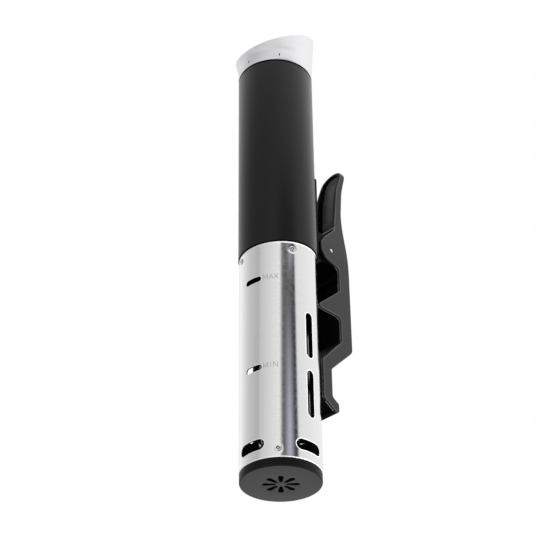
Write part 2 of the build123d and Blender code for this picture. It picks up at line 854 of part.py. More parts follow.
def make_jaw_hollow():
    back = jaw_seat + jaw_wall
    front = jaw_gap + jaw_depth - jaw_wall
    web = arm_reach - arm_web
    shelf = lower_window[1] + window_corner - jaw_wall
    return lever_face([
        (back, jaw_high - jaw_wall * 2), (back, jaw_low - hook_wall), (back, hook_tip_inner[1]),
        (hook_tip_inner[0] - hook_wall, hook_tip_inner[1]),
        (hook_back[0] - hook_wall, hook_back[1] - hook_wall),
        (front, hook_root - hook_wall), (front, elbow_foot), (web, elbow_height + jaw_wall),
        (web, shelf), (window_depth + jaw_wall, shelf), (window_depth + jaw_wall, lower_window[1] - jaw_wall),
    ])


def make_paddle_tray():
    foot_out, foot_up = paddle_foot_outer
    share = (paddle_tray_low - stop_rib_height) / (foot_up - stop_rib_height)
    low_out = arm_reach + (foot_out - arm_reach) * share
    return lever_face([
        (0, paddle_tray_low), (low_out - paddle_web, paddle_tray_low),
        (foot_out - paddle_web, foot_up),
        (paddle_bend_outer[0] - paddle_web, paddle_bend_outer[1]),
        (paddle_tip_outer[0] - paddle_web, paddle_tip_outer[1]),
        (paddle_tip_outer[0] - paddle_web, 2 * paddle_shoulder), (0, 2 * paddle_shoulder),
    ])


def rounded_lever(lever, outline):
    """The lever with its outer edges rounded, apart from the seams where its side turns in."""
    seams = [pin_height + level for level in (waist_low, waist_high, paddle_shoulder)]
    chosen = []
    for edge in lever.edges():
        middle = edge @ 0.5
        on_outline = outline.distance_to((middle.X, middle.Z, 0)) < same_place
        if on_outline and min(abs(middle.Z - seam) for seam in seams) > same_place:
            chosen.append(edge)
    return fillet(chosen, lever_edge)


def make_clip_lever():
    back = make_lever_back(0)
    lever = from_side(make_lever_side(), arm_half_width) & extrude(Plane.XZ * back, amount=-far)
    lever = rounded_lever(lever, back.wire())
    inside = extrude(Plane.XZ * make_lever_back(arm_plate), amount=-far)
    lever -= inside & from_side(make_lever_channel(), far)
    lever -= inside & from_side(make_jaw_hollow(), far)
    half = arm_half_width - arm_plate / 2
    web = skirt_radius + arm_reach - arm_web / 2
    rib_low = pin_height + stop_rib_height
    lever += block(-half, half, web - stop_rib_depth, web, rib_low, rib_low + stop_rib_thickness)
    lever -= extrude(Plane.XZ * make_lever_back(paddle_rim), amount=-far) & from_side(make_paddle_tray(), far)
    return lever - pin_along_x(pin_radius + running_fit, arm_half_width)


# Jaw pad: a ribbed rubber strip on the jaw, facing the skirt
jaw_seat = pad_clearance + pad_thickness


def make_jaw_pad():
    half = arm_half_width - arm_plate - pad_margin
    face = skirt_radius + pad_clearance
    pad = block(-half, half, face, skirt_radius + jaw_seat, pin_height + pad_low, pin_height + pad_high)
    pitch = (pad_high - pad_low) / (pad_groove_count + 1)
    for i in range(pad_groove_count):
        middle = pin_height + pad_low + pitch * (i + 1)
        pad -= block(-half, half, face, face + pad_groove, middle - pad_groove, middle + pad_groove)
    return pad


pieces = {
    "end_cap": make_end_cap(),
    "lower_bush": make_lower_bush(),
    "skirt_tube": make_skirt_tube(),
    "cap_screws": in_turn(wall_screw(angle, cap_screw_height) for angle in cap_screw_angles),
    "skirt_screws": in_turn(wall_screw(angle, skirt_screw_height) for angle in skirt_screw_angles),
    "joint_gasket": make_joint_gasket(),
    "bulkhead": make_bulkhead(),
    "bulkhead_oring": make_bulkhead_oring(),
    "shaft_seal": make_shaft_seal(),
    "shaft_bearing": make_shaft_bearing(),
    "heater_left": make_heater(heater_left_legs),
    "heater_right": make_heater(heater_right_legs),
    "temperature_probe": make_temperature_probe(),
    "level_electrodes": make_level_electrodes(),
    "drive_shaft": make_drive_shaft(),
    "impeller": make_impeller(),
    "shaft_coupling": make_shaft_coupling(),
    "motor_shaft": make_motor_shaft(),
    "motor": make_motor(),
    "motor_mount": make_motor_mount(),
    "mount_screws": make_mount_screws(),
    "grip_sleeve": make_grip_sleeve(),
    "inner_frame": make_inner_frame(),
    "power_board": make_power_board(),
    "board_capacitor": make_board_capacitor(),
    "board_transformer": make_board_transformer(),
    "board_relay": make_board_relay(),
    "heat_sink": make_heat_sink(),
    "top_collar": make_top_collar(),
    "lens_seal": make_lens_seal(),
    "display_lens": make_display_lens(),
    "display_frame": make_display_frame(),
    "display_board": make_display_board(),
    "digit_module": make_digit_module(),
    "buzzer": make_buzzer(),
    "cord_gland": make_cord_gland(),
    "clip_bracket": make_clip_bracket(),
    "bracket_screws": make_bracket_screws(),
    "clip_pin": make_clip_pin(),
    "clip_spring": make_clip_spring(),
    "clip_lever": make_clip_lever(),
    "jaw_pad": make_jaw_pad(),
}

os.makedirs("parts", exist_ok=True)
for name, piece in pieces.items():
    export_step(piece, f"parts/{name}.step")
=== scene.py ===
import math

import bmesh
import bpy
from mathutils import Matrix, Vector


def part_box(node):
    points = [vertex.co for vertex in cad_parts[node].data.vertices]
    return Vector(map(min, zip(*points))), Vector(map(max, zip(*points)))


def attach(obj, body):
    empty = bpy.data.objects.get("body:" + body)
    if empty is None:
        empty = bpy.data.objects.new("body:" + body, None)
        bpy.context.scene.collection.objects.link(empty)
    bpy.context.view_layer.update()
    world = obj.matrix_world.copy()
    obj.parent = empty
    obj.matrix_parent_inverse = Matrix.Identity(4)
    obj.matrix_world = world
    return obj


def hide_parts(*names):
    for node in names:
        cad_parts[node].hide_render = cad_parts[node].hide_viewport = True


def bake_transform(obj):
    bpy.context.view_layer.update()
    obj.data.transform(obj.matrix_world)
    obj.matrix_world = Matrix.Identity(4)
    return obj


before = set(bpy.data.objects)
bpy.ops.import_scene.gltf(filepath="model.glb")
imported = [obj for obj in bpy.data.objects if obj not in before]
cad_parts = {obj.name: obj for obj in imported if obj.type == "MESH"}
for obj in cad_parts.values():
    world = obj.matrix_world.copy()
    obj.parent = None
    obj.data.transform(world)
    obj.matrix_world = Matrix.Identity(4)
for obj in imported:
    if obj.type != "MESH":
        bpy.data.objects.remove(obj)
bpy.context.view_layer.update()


# Steel skirt: thin stainless sheet, punched with the water ports, rolled into a tube and welded. It is
# brushed round the outside and polished where the ports and both ends were deburred. Those polished bands
# also carry a painted highlight, and the bore and the port walls are painted dark as shade.
skirt_radius = 0.030
skirt_wall = 0.0008
skirt_foot = 0.0067
skirt_head = 0.1906
joint_slope = 0.075
port_lip = 0.0002
port_shine = 0.0007
head_shine = 0.0013
foot_shine = 0.0009
port_steps = 14
lip_turns = (0, 30, 60, 90)
seam_angle = 210
strip_angle = 1.5
windows = [(angle, 0.0185, 0.0230, 0.0083) for angle in (-90, 0, 90, 180)]
long_slots = [(angle, height, 0.0070, 0.0384) for angle in (4.2, 184.2) for height in (0.0618, 0.1112)]
level_slots = [(-84, height, 0.0143, 0.0045) for height in (0.0808, 0.1573)]
line_shades = (0.9, 1.06)
line_depth = 0.00005
mottle_scale = 420.0
mottle_swing = 0.14
smooth_angle = 35
cut_gap = 1e-7
weld_gap = 1e-6
near = 1e-5


def new_group(name, inputs, outputs):
    group = bpy.data.node_groups.new(name, "ShaderNodeTree")
    for side, sockets in (("INPUT", inputs), ("OUTPUT", outputs)):
        for label, kind in sockets:
            group.interface.new_socket(label, in_out=side, socket_type="NodeSocket" + kind)
    return group, group.nodes.new("NodeGroupInput"), group.nodes.new("NodeGroupOutput")


def add(tree, kind, settings=None, sockets=None):
    """Add a shader node, with its settings, and its sockets set to values or joined to other sockets."""
    node = tree.nodes.new("ShaderNode" + kind)
    for key, value in (settings or {}).items():
        setattr(node, key, value)
    for label, value in (sockets or {}).items():
        if isinstance(value, bpy.types.NodeSocket):
            tree.links.new(value, node.inputs[label])
        else:
            node.inputs[label].default_value = value
    return node


def noise(tree, place, scale, detail):
    """Cloudy values from 0 to 1."""
    return add(tree, "TexNoise", None, {"Vector": place, "Scale": scale, "Detail": detail}).outputs[0]


def reckon(tree, operation, *values):
    """Work a value out from others."""
    return add(tree, "Math", {"operation": operation}, dict(enumerate(values))).outputs[0]


def span(tree, value, low, high, start=0.0, end=1.0, kind="LINEAR"):
    """Spread a value that runs from start to end between two others."""
    sockets = {"Value": value, "From Min": start, "From Max": end, "To Min": low, "To Max": high}
    return add(tree, "MapRange", {"interpolation_type": kind}, sockets).outputs[0]


def make_brushing():
    group, given, made = new_group(
        "brushing",
        [("Colour", "Color"), ("Stroke", "Vector"), ("Roughness", "Float"), ("Depth", "Float")],
        [("Colour", "Color"), ("Roughness", "Float"), ("Normal", "Vector")],
    )
    place = add(group, "TexCoord").outputs["Object"]
    stroke = add(group, "VectorMath", {"operation": "MULTIPLY"}, {0: place, 1: given.outputs["Stroke"]})
    lines = noise(group, stroke.outputs[0], 1.0, 4.0)
    dull = span(group, noise(group, place, mottle_scale, 3.0), -mottle_swing, mottle_swing)
    rough = reckon(group, "ADD", dull, given.outputs["Roughness"])
    shade = span(group, lines, *line_shades)
    tint = add(group, "VectorMath", {"operation": "SCALE"}, {0: given.outputs["Colour"], "Scale": shade})
    bump = add(group, "Bump", None, {"Height": lines, "Strength": given.outputs["Depth"],
                                     "Distance": line_depth})
    group.links.new(tint.outputs[0], made.inputs["Colour"])
    group.links.new(rough, made.inputs["Roughness"])
    group.links.new(bump.outputs[0], made.inputs["Normal"])
    return group


brushing = make_brushing()


def grouped(name, group, values, **constants):
    """A material whose colour, roughness and normal come from a group, with the rest set on the shader."""
    material = bpy.data.materials.new(name)
    material.use_nodes = True
    tree = material.node_tree
    shader = tree.nodes["Principled BSDF"]
    for label, value in constants.items():
        shader.inputs[label.replace("_", " ")].default_value = value
    maker = tree.nodes.new("ShaderNodeGroup")
    maker.node_tree = group
    for label, value in values.items():
        maker.inputs[label].default_value = value
    tree.links.new(maker.outputs["Colour"], shader.inputs["Base Color"])
    tree.links.new(maker.outputs["Roughness"], shader.inputs["Roughness"])
    tree.links.new(maker.outputs["Normal"], shader.inputs["Normal"])
    return material


def brushed(name, colour, stroke, roughness, depth, anisotropy=0.0, metal=1.0):
    """Metal with fine lines. Stroke says how often they change along X, Y and Z."""
    values = {"Colour": (*colour, 1), "Stroke": stroke, "Roughness": roughness, "Depth": depth}
    material = grouped(name, brushing, values, Metallic=metal, Anisotropic=anisotropy)
    if anisotropy:
        tree = material.node_tree
        tangent = add(tree, "Tangent", {"direction_type": "RADIAL", "axis": "Z"})
        tree.links.new(tangent.outputs[0], tree.nodes["Principled BSDF"].inputs["Tangent"])
    return material


def piece(name, bm, materials, body, slot, *nodes):
    """Make a shaped mesh an object that rides on a body, if one is given, and stands for CAD nodes."""
    mesh = bpy.data.meshes.new(name)
    bm.to_mesh(mesh)
    bm.free()
    for material in materials:
        mesh.materials.append(material)
    mesh.shade_smooth()
    mesh.set_sharp_from_angle(angle=math.radians(smooth_angle))
    made = bpy.data.objects.new(name, mesh)
    bpy.context.scene.collection.objects.link(made)
    if body:
        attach(made, body)
    if nodes:
        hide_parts(*nodes)
    return made


def closed_ring(bm, points):
    """Join points into a ring of edges."""
    verts = [bm.verts.new(point) for point in points]
    return [bm.edges.new((verts[i - 1], verts[i])) for i in range(len(verts))]


def port_ring(bm, port, grow, depth):
    """The outline of a round-ended port on the flat sheet: X along it, Y into it and Z up."""
    angle, height, width, tall = port
    lean = 0 if width > tall else math.pi / 2
    reach = abs(width - tall) / 2
    radius = min(width, tall) / 2 + grow
    points = []
    for end in (1, -1):
        for step in range(port_steps + 1):
            turn = lean + math.pi * (step / port_steps - end / 2)
            across = end * reach * math.cos(lean) + radius * math.cos(turn)
            up = end * reach * math.sin(lean) + radius * math.sin(turn)
            round_angle = math.radians(angle) + math.asin(across / skirt_radius)
            points.append((skirt_radius * round_angle, depth, height + up))
    return closed_ring(bm, points)


def sheet_edge(bm, trim, depth):
    """The outline of the flat sheet, whose upper edge follows the slanted joint."""
    turns = [seam_angle - 360 + strip_angle * i for i in range(round(360 / strip_angle) + 1)]
    ends = (turns[0], turns[-1])
    points = [(skirt_radius * math.radians(turn), depth, skirt_foot + trim) for turn in ends]
    for turn in reversed(turns):
        rise = joint_slope * skirt_radius * math.sin(math.radians(turn))
        points.append((skirt_radius * math.radians(turn), depth, skirt_head + rise - trim))
    return closed_ring(bm, points)


def weld(bm):
    """Merge points that lie together."""
    bmesh.ops.remove_doubles(bm, verts=bm.verts, dist=weld_gap)


def cut(bm, spot, normal):
    """Cut all faces along a plane."""
    geometry = bm.verts[:] + bm.edges[:] + bm.faces[:]
    bmesh.ops.bisect_plane(bm, geom=geometry, dist=cut_gap, plane_co=spot, plane_no=normal)


def roll(bm):
    """Cut a flat sheet into narrow strips and bend it round the skirt."""
    left = min(vert.co.x for vert in bm.verts)
    right = max(vert.co.x for vert in bm.verts)
    strip = skirt_radius * math.radians(strip_angle)
    for i in range(math.ceil(left / strip), math.floor(right / strip) + 1):
        cut(bm, (i * strip, 0, 0), (1, 0, 0))
    for vert in bm.verts:
        turn, radius = vert.co.x / skirt_radius, skirt_radius - vert.co.y
        vert.co.xy = radius * math.cos(turn), radius * math.sin(turn)
    weld(bm)


def make_skirt():
    bm = bmesh.new()
    bore_shade_finish, polish_and_highlight_finish = 1, 2
    turns = [math.radians(turn) for turn in lip_turns]
    lip_steps = [(port_lip * (1 - math.cos(turn)), port_lip * math.sin(turn)) for turn in turns]
    lip_steps.append((skirt_wall, port_lip))
    ports = windows + long_slots + level_slots
    rims = [[port_ring(bm, port, port_shine, 0)] for port in ports]
    for depth, fall in lip_steps:
        for port, rim in zip(ports, rims):
            rim.append(port_ring(bm, port, port_lip - fall, depth))
    outside = sheet_edge(bm, port_lip, 0)
    inside = sheet_edge(bm, 0, skirt_wall)
    for outline, side in ((outside, 0), (inside, -1)):
        holes = [edge for rim in rims for edge in rim[side]]
        bmesh.ops.triangle_fill(bm, edges=outline + holes, use_beauty=True)
    for rim in rims:
        shine = bmesh.ops.triangle_fill(bm, edges=rim[0] + rim[1], use_beauty=True)["geom"]
        lip = [item for item in shine if isinstance(item, bmesh.types.BMFace)]
        lip += bmesh.ops.bridge_loops(bm, edges=rim[1] + rim[2])["faces"]
        for face in lip:
            face.material_index = polish_and_highlight_finish
        for ring, deeper in zip(rim[2:], rim[3:]):
            for face in bmesh.ops.bridge_loops(bm, edges=ring + deeper)["faces"]:
                face.material_index = bore_shade_finish
    roll(bm)
    middle = (skirt_foot + skirt_head) / 2
    for low in (True, False):
        ends = [e for e in bm.edges if e.is_boundary and (e.verts[0].co.z < middle) == low]
        ring = [e for e in ends if e.verts[0].co.xy.length > skirt_radius - skirt_wall / 2]
        for (last_depth, last_fall), (depth, fall) in zip(lip_steps, lip_steps[1:]):
            lip = bmesh.ops.extrude_edge_only(bm, edges=ring)["geom"]
            verts = [item for item in lip if isinstance(item, bmesh.types.BMVert)]
            ring = [item for item in lip if isinstance(item, bmesh.types.BMEdge)]
            shrink = (skirt_radius - depth) / (skirt_radius - last_depth)
            bmesh.ops.scale(bm, verts=verts, vec=(shrink, shrink, 1))
            step = fall - last_fall
            bmesh.ops.translate(bm, verts=verts, vec=(0, 0, -step if low else step))
    weld(bm)
    # Bands at the foot and the head that carry the painted highlight.
    low_shine, high_shine = skirt_foot + foot_shine, skirt_head - head_shine
    cut(bm, (0, 0, low_shine), (0, 0, 1))
    cut(bm, (0, 0, high_shine), (0, -joint_slope, 1))
    bmesh.ops.recalc_face_normals(bm, faces=bm.faces)
    bore_radius = skirt_radius - skirt_wall
    # Painted shade: faces of the bore get the dark steel, like the port walls above.
    for face in bm.faces:
        if all(vert.co.xy.length < bore_radius + near for vert in face.verts):
            face.material_index = bore_shade_finish
        elif all(vert.co.z < low_shine + weld_gap for vert in face.verts):
            face.material_index = polish_and_highlight_finish
        elif all(vert.co.z - joint_slope * vert.co.y > high_shine - weld_gap for vert in face.verts):
            face.material_index = polish_and_highlight_finish
    return bm


skirt_steel = brushed("skirt_steel", (0.86, 0.855, 0.855), (70, 70, 4200), 0.11, 0.08, anisotropy=0.5)
# Painted shade: near-black steel for the bore and the port walls, so that they read as shadowed.
bore_shade_steel = brushed("bore_shade_steel", (0.07, 0.068, 0.066), (400, 400, 400), 0.5, 0.1)
# Polished deburred steel, made whiter and partly diffuse as a painted highlight.
deburred_highlight_steel = brushed("deburred_highlight_steel", (0.97, 0.965, 0.96), (300, 300, 900), 0.3, 0.03, metal=0.35)
skirt_finishes = [skirt_steel, bore_shade_steel, deburred_highlight_steel]
piece("skirt_shell", make_skirt(), skirt_finishes, "housing", "skirt_steel", "skirt_tube")


# Level marks: the words for the highest and lowest water beside the two level slots, lightly etched into
# the steel with thin plain strokes.
mark_height = 0.0040
mark_stroke = 0.00038
mark_depth = 0.00006
mark_gap = 0.0010
strokes = {
    "M": (0.0031, [(0, 0, 0, 1), (0, 1, 0.5, 0.2), (0.5, 0.2, 1, 1), (1, 1, 1, 0)]),
    "A": (0.0031, [(0, 0, 0.5, 1), (0.5, 1, 1, 0), (0.2, 0.36, 0.8, 0.36)]),
    "X": (0.0028, [(0, 0, 1, 1), (0, 1, 1, 0)]),
    "I": (0.0024, [(0.5, 0, 0.5, 1)]),
    "N": (0.0029, [(0, 0, 0, 1), (0, 1, 1, 0), (1, 0, 1, 1)]),
}
level_words = [("MAX", -66.0, 0.1556), ("MIN", -67.0, 0.0792)]


def make_level_marks():
    bm = bmesh.new()
    for word, angle, height in level_words:
        left = skirt_radius * math.radians(angle)
        for letter in word:
            width, lines = strokes[letter]
            for x0, z0, x1, z1 in lines:
                start = Vector((left + x0 * width, 0, height + z0 * mark_height))
                end = Vector((left + x1 * width, 0, height + z1 * mark_height))
                run = end - start
                lean = Matrix.Rotation(-math.atan2(run.z, run.x), 4, "Y")
                size = Matrix.Diagonal((run.length + mark_stroke, mark_depth, mark_stroke, 1))
                place = Matrix.Translation((start + end) / 2)
                bmesh.ops.create_cube(bm, size=1.0, matrix=place @ lean @ size)
            left += width + mark_gap
    roll(bm)
    bmesh.ops.recalc_face_normals(bm, faces=bm.faces)
    return bm


etched_steel = brushed("etched_steel", (0.5, 0.49, 0.49), (900, 900, 900), 0.5, 0.1)
piece("level_marks", make_level_marks(), [etched_steel], "housing", "skirt_steel")


# End cap: a shallow moulded cup of dark nylon, pushed into the foot of the skirt and held by two screws.
# Its floor is grained, its rim is smooth and painted darker as shade, and eight petals round a closed hub
# let the water in. The petal walls and every face above the underside are painted black as shade.
cap_radius = 0.0299
cap_bore = 0.0266
cap_floor = 0.0030
cap_edge = 0.0008
round_share = 0.3
cap_spigot_top = 0.0097
cap_steps = 144
floor_ring = 0.0160
spigot_radius = 0.0291
lug_inner = 0.0255
lug_top = 0.0182
lug_angle = 25.6
lug_steps = 10
cap_screw_angles = (-48, 132)
cap_screw_height = 0.0136
hub_radius = 0.0054
hub_bore = 0.0042
hub_top = 0.0095
hub_steps = 64
petal_angles = range(0, 360, 45)
petal_inner = (0.0048, 0.00095)
petal_outer = (0.01145, 0.00185)
petal_steps = 10
petal_lip = 0.0003
grain_depth = 0.0002
grain_swing = 0.07
cloud_scale = 60.0


def mixed(tree, share, first, second, kind="MIX"):
    """Mix two colours."""
    settings = {"data_type": "RGBA", "blend_type": kind}
    return add(tree, "Mix", settings, {0: share, 6: first, 7: second}).outputs[2]


def make_moulded_grain():
    group, given, made = new_group(
        "moulded_grain",
        [("Light", "Color"), ("Dark", "Color"), ("Roughness", "Float"), ("Grain", "Float"),
         ("Depth", "Float")],
        [("Colour", "Color"), ("Roughness", "Float"), ("Normal", "Vector")],
    )
    place = add(group, "TexCoord").outputs["Object"]
    fine = noise(group, place, given.outputs["Grain"], 3.0)
    broad = noise(group, place, cloud_scale, 4.0)
    tone = mixed(group, broad, given.outputs["Dark"], given.outputs["Light"])
    rough = reckon(group, "ADD", span(group, fine, -grain_swing, grain_swing), given.outputs["Roughness"])
    bump = add(group, "Bump", None, {"Height": fine, "Strength": given.outputs["Depth"],
                                     "Distance": grain_depth})
    group.links.new(tone, made.inputs["Colour"])
    group.links.new(rough, made.inputs["Roughness"])
    group.links.new(bump.outputs[0], made.inputs["Normal"])
    return group


moulded_grain = make_moulded_grain()


def moulded(name, light, dark, roughness, grain=2600.0, depth=0.25, specular=0.3):
    """Moulded plastic or rubber with a fine grain, between two close tones."""
    values = {"Light": (*light, 1), "Dark": (*dark, 1), "Roughness": roughness, "Grain": grain,
              "Depth": depth}
    return grouped(name, moulded_grain, values, Specular_IOR_Level=specular)


def spun(bm, profile, steps, turn=360, start=0):
    """Spin a profile of (radius, height) points round Z."""
    verts = [bm.verts.new((radius, 0, height)) for radius, height in profile]
    edges = [bm.edges.new(pair) for pair in zip(verts, verts[1:])]
    whole = turn == 360
    geometry = verts + edges
    if not whole:
        face = bm.faces.new(verts)
        geometry = verts + face.edges[:] + [face]
    bmesh.ops.rotate(bm, verts=verts, cent=(0, 0, 0), matrix=Matrix.Rotation(math.radians(start), 3, "Z"))
    bmesh.ops.spin(bm, geom=geometry, cent=(0, 0, 0), axis=(0, 0, 1), angle=math.radians(turn), steps=steps,
                   use_merge=whole)


def close_skin(bm):
    """Merge points that lie together, and turn all faces outwards."""
    weld(bm)
    bmesh.ops.recalc_face_normals(bm, faces=bm.faces)


def petal_ring(bm, angle, grow, height):
    """The outline of one petal: two circles joined by their outer tangents."""
    inner_centre, inner_radius = petal_inner
    outer_centre, outer_radius = petal_outer
    lean = math.acos((inner_radius - outer_radius) / (outer_centre - inner_centre))
    place = Matrix.Rotation(math.radians(angle), 3, "Z")
    points = []
    for centre, radius, first, sweep in (
        (outer_centre, outer_radius + grow, -lean, 2 * lean),
        (inner_centre, inner_radius + grow, lean, 2 * math.pi - 2 * lean),
    ):
        for step in range(petal_steps + 1):
            turn = first + sweep * step / petal_steps
            points.append(place @ Vector((centre + radius * math.cos(turn), radius * math.sin(turn), height)))
    return closed_ring(bm, points)


def make_cap():
    bm = bmesh.new()
    rim_shade_finish, hollow_shade_finish = 1, 2
    eased = cap_edge * round_share
    spun(bm, [
        (floor_ring, 0), (cap_radius - cap_edge, 0), (cap_radius - eased, eased), (cap_radius, cap_edge),
        (cap_radius, skirt_foot), (spigot_radius, skirt_foot), (spigot_radius, cap_spigot_top),
        (cap_bore, cap_spigot_top), (cap_bore, cap_floor), (floor_ring, cap_floor),
    ], cap_steps)
    weld(bm)
    rims = []
    eased = petal_lip * round_share
    lip_path = ((petal_lip, 0), (eased, eased), (0, petal_lip), (0, cap_floor))
    for angle in petal_angles:
        rings = [petal_ring(bm, angle, grow, height) for grow, height in lip_path]
        for ring, deeper in zip(rings, rings[1:]):
            bmesh.ops.bridge_loops(bm, edges=ring + deeper)
        rims.append(rings)
    for side, height in ((0, 0), (-1, cap_floor)):
        edge = [e for e in bm.edges if e.is_boundary and abs(e.verts[0].co.z - height) < weld_gap
                and abs(e.verts[0].co.xy.length - floor_ring) < near]
        holes = [e for rings in rims for e in rings[side]]
        bmesh.ops.triangle_fill(bm, edges=edge + holes, use_beauty=True)
    hub = [(hub_bore, cap_floor), (hub_bore, hub_top), (hub_radius, hub_top), (hub_radius, cap_floor)]
    spun(bm, hub + hub[:1], hub_steps)
    for angle in cap_screw_angles:
        lug = [(lug_inner, cap_spigot_top), (lug_inner, lug_top), (spigot_radius, lug_top),
               (spigot_radius, cap_spigot_top)]
        spun(bm, lug, lug_steps, turn=lug_angle, start=angle - lug_angle / 2)
    close_skin(bm)
    for face in bm.faces:
        if all(vert.co.xy.length > cap_radius - cap_edge - near for vert in face.verts):
            face.material_index = rim_shade_finish
        # Painted shade: every face above the underside, the petal walls among them, gets the near-black
        # finish.
        elif any(vert.co.z > weld_gap for vert in face.verts):
            face.material_index = hollow_shade_finish
    return bm


cap_nylon = moulded("cap_nylon", (0.060, 0.060, 0.061), (0.052, 0.052, 0.053), 0.6, specular=0.2)
# Smooth rim, with painted shade: a tone far darker than the floor's, so that the side reads as shaded.
rim_shade_nylon = moulded("rim_shade_nylon", (0.0045, 0.0045, 0.0048), (0.0033, 0.0033, 0.0036), 0.4, specular=0.13)
# Painted shade: near black for the petal walls and the inside of the cup.
cap_hollow_shade = moulded("cap_hollow_shade", (0.003, 0.003, 0.003), (0.002, 0.002, 0.002), 0.6, specular=0.05)
piece("cap_cup", make_cap(), [cap_nylon, rim_shade_nylon, cap_hollow_shade], "housing", "cap_plastic", "end_cap")


# Wall screws: small stainless heads, each a broad bright flange round a cross recess. The recess ring and the
# flange's outer edge are painted dark as shade. Two hold the cap in the skirt and four hold the skirt on the
# bulkhead, and each draws a shallow dimple in the sheet.
screw_profile = [
    (0, 0.00020), (0.00060, 0.00016), (0.00075, 0.00006), (0.00110, 0.00010), (0.00140, 0.00044),
    (0.00160, 0.00049), (0.00210, 0.00044), (0.00236, 0.00030), (0.00258, -0.00014), (0.00140, -0.00014),
    (0.00140, -0.00590), (0, -0.00590),
]
recess_rings = (0.0005, 0.0015)
rim_ring = 0.0023
recess_arms = 4
recess_depth = 0.1
screw_head_depth = 0.001
screw_steps = 32
skirt_screw_height = 0.1832
skirt_screw_angles = [-22.7 + 90 * i for i in range(4)]
dimple_reach = 0.0050
dimple_depth = 0.00020


def make_screws(places):
    """Screws on the skirt at (angle, height), each spun upright, given its recess, then turned outwards."""
    bm = bmesh.new()
    for angle, height in places:
        screw = bmesh.new()
        spun(screw, screw_profile, screw_steps)
        weld(screw)
        head = [vert for vert in screw.verts if vert.co.z > -screw_head_depth]
        recess = [vert for vert in head if recess_rings[0] < vert.co.xy.length < recess_rings[1]]
        edge = [vert for vert in head if vert.co.xy.length > rim_ring]
        # Painted shade: faces in the recess ring and on the flange's outer edge get the dark finish.
        for face in screw.faces:
            dark = any(all(vert in ring for vert in face.verts) for ring in (recess, edge))
            face.material_index = int(dark)
        for vert in recess:
            vert.co.xy *= 1 + recess_depth * math.cos(recess_arms * math.atan2(vert.co.y, vert.co.x))
        bmesh.ops.recalc_face_normals(screw, faces=screw.faces)
        stand = Matrix.Translation((skirt_radius, 0, height)) @ Matrix.Rotation(math.pi / 2, 4, "Y")
        screw.transform(Matrix.Rotation(math.radians(angle), 4, "Z") @ stand)
        loose = bpy.data.meshes.new("screw")
        screw.to_mesh(loose)
        screw.free()
        bm.from_mesh(loose)
        bpy.data.meshes.remove(loose)
    return bm


def dimpled(material, spots):
    """Press shallow dimples into a finish round the screws that draw it in."""
    tree = material.node_tree
    shader = tree.nodes["Principled BSDF"]
    place = add(tree, "TexCoord").outputs["Object"]
    nearest = dimple_reach
    for angle, height in spots:
        turn = math.radians(angle)
        spot = (skirt_radius * math.cos(turn), skirt_radius * math.sin(turn), height)
        gap = add(tree, "VectorMath", {"operation": "DISTANCE"}, {0: place, 1: spot}).outputs["Value"]
        nearest = reckon(tree, "MINIMUM", nearest, gap)
    rise = span(tree, nearest, 0.0, 1.0, end=dimple_reach, kind="SMOOTHSTEP")
    bump = add(tree, "Bump", None, {"Height": rise, "Strength": 1.0, "Distance": dimple_depth,
                                    "Normal": shader.inputs["Normal"].links[0].from_socket})
    tree.links.new(bump.outputs[0], shader.inputs["Normal"])


cap_screws = [(angle, cap_screw_height) for angle in cap_screw_angles]
skirt_screws = [(angle, skirt_screw_height) for angle in skirt_screw_angles]
dimpled(skirt_steel, cap_screws + skirt_screws)
screw_steel = brushed("screw_steel", (0.92, 0.915, 0.91), (900, 900, 900), 0.2, 0.05)
# Painted shade: dark steel for the recess ring and the flange's outer edge.
recess_shade_steel = brushed("recess_shade_steel", (0.20, 0.20, 0.205), (900, 900, 900), 0.35, 0.1)
screw_finishes = [screw_steel, recess_shade_steel]
piece("cap_screw_heads", make_screws(cap_screws), screw_finishes, "housing", "bright_steel", "cap_screws")
piece("skirt_screw_heads", make_screws(skirt_screws), screw_finishes, "housing", "bright_steel",
      "skirt_screws")


# Wet end: a moulded bulkhead closes the dry side. Two bent heater rods, a probe and two level electrodes
# hang from it inside the skirt, sealed by rubber rings.
def dress(material, *nodes):
    """Give CAD nodes their finish."""
    for node in nodes:
        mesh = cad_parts[node].data
        mesh.materials.clear()
        mesh.materials.append(material)


wet_nylon = moulded("wet_nylon", (0.012, 0.012, 0.012), (0.008, 0.008, 0.008), 0.5, specular=0.2)
heater_steel = brushed("heater_steel", (0.7, 0.68, 0.66), (300, 300, 40), 0.18, 0.05)
black_rubber = moulded("black_rubber", (0.009, 0.009, 0.009), (0.005, 0.005, 0.005), 0.7, specular=0.1)
dress(wet_nylon, "bulkhead")
dress(heater_steel, "heater_left", "heater_right", "temperature_probe", "level_electrodes")
dress(black_rubber, "bulkhead_oring", "shaft_seal", "joint_gasket")


# Rotor: a ground steel shaft in a bronze bush and a bearing, with a moulded impeller at its foot and a
# coupling to the motor's shaft at its head.
turned_steel = brushed("turned_steel", (0.5, 0.5, 0.51), (80, 80, 2500), 0.25, 0.1)
bush_bronze = brushed("bush_bronze", (0.5, 0.34, 0.18), (80, 80, 2500), 0.35, 0.1)
dress(turned_steel, "drive_shaft", "motor_shaft", "shaft_coupling", "shaft_bearing", "mount_screws")
dress(bush_bronze, "lower_bush")
dress(wet_nylon, "impeller")


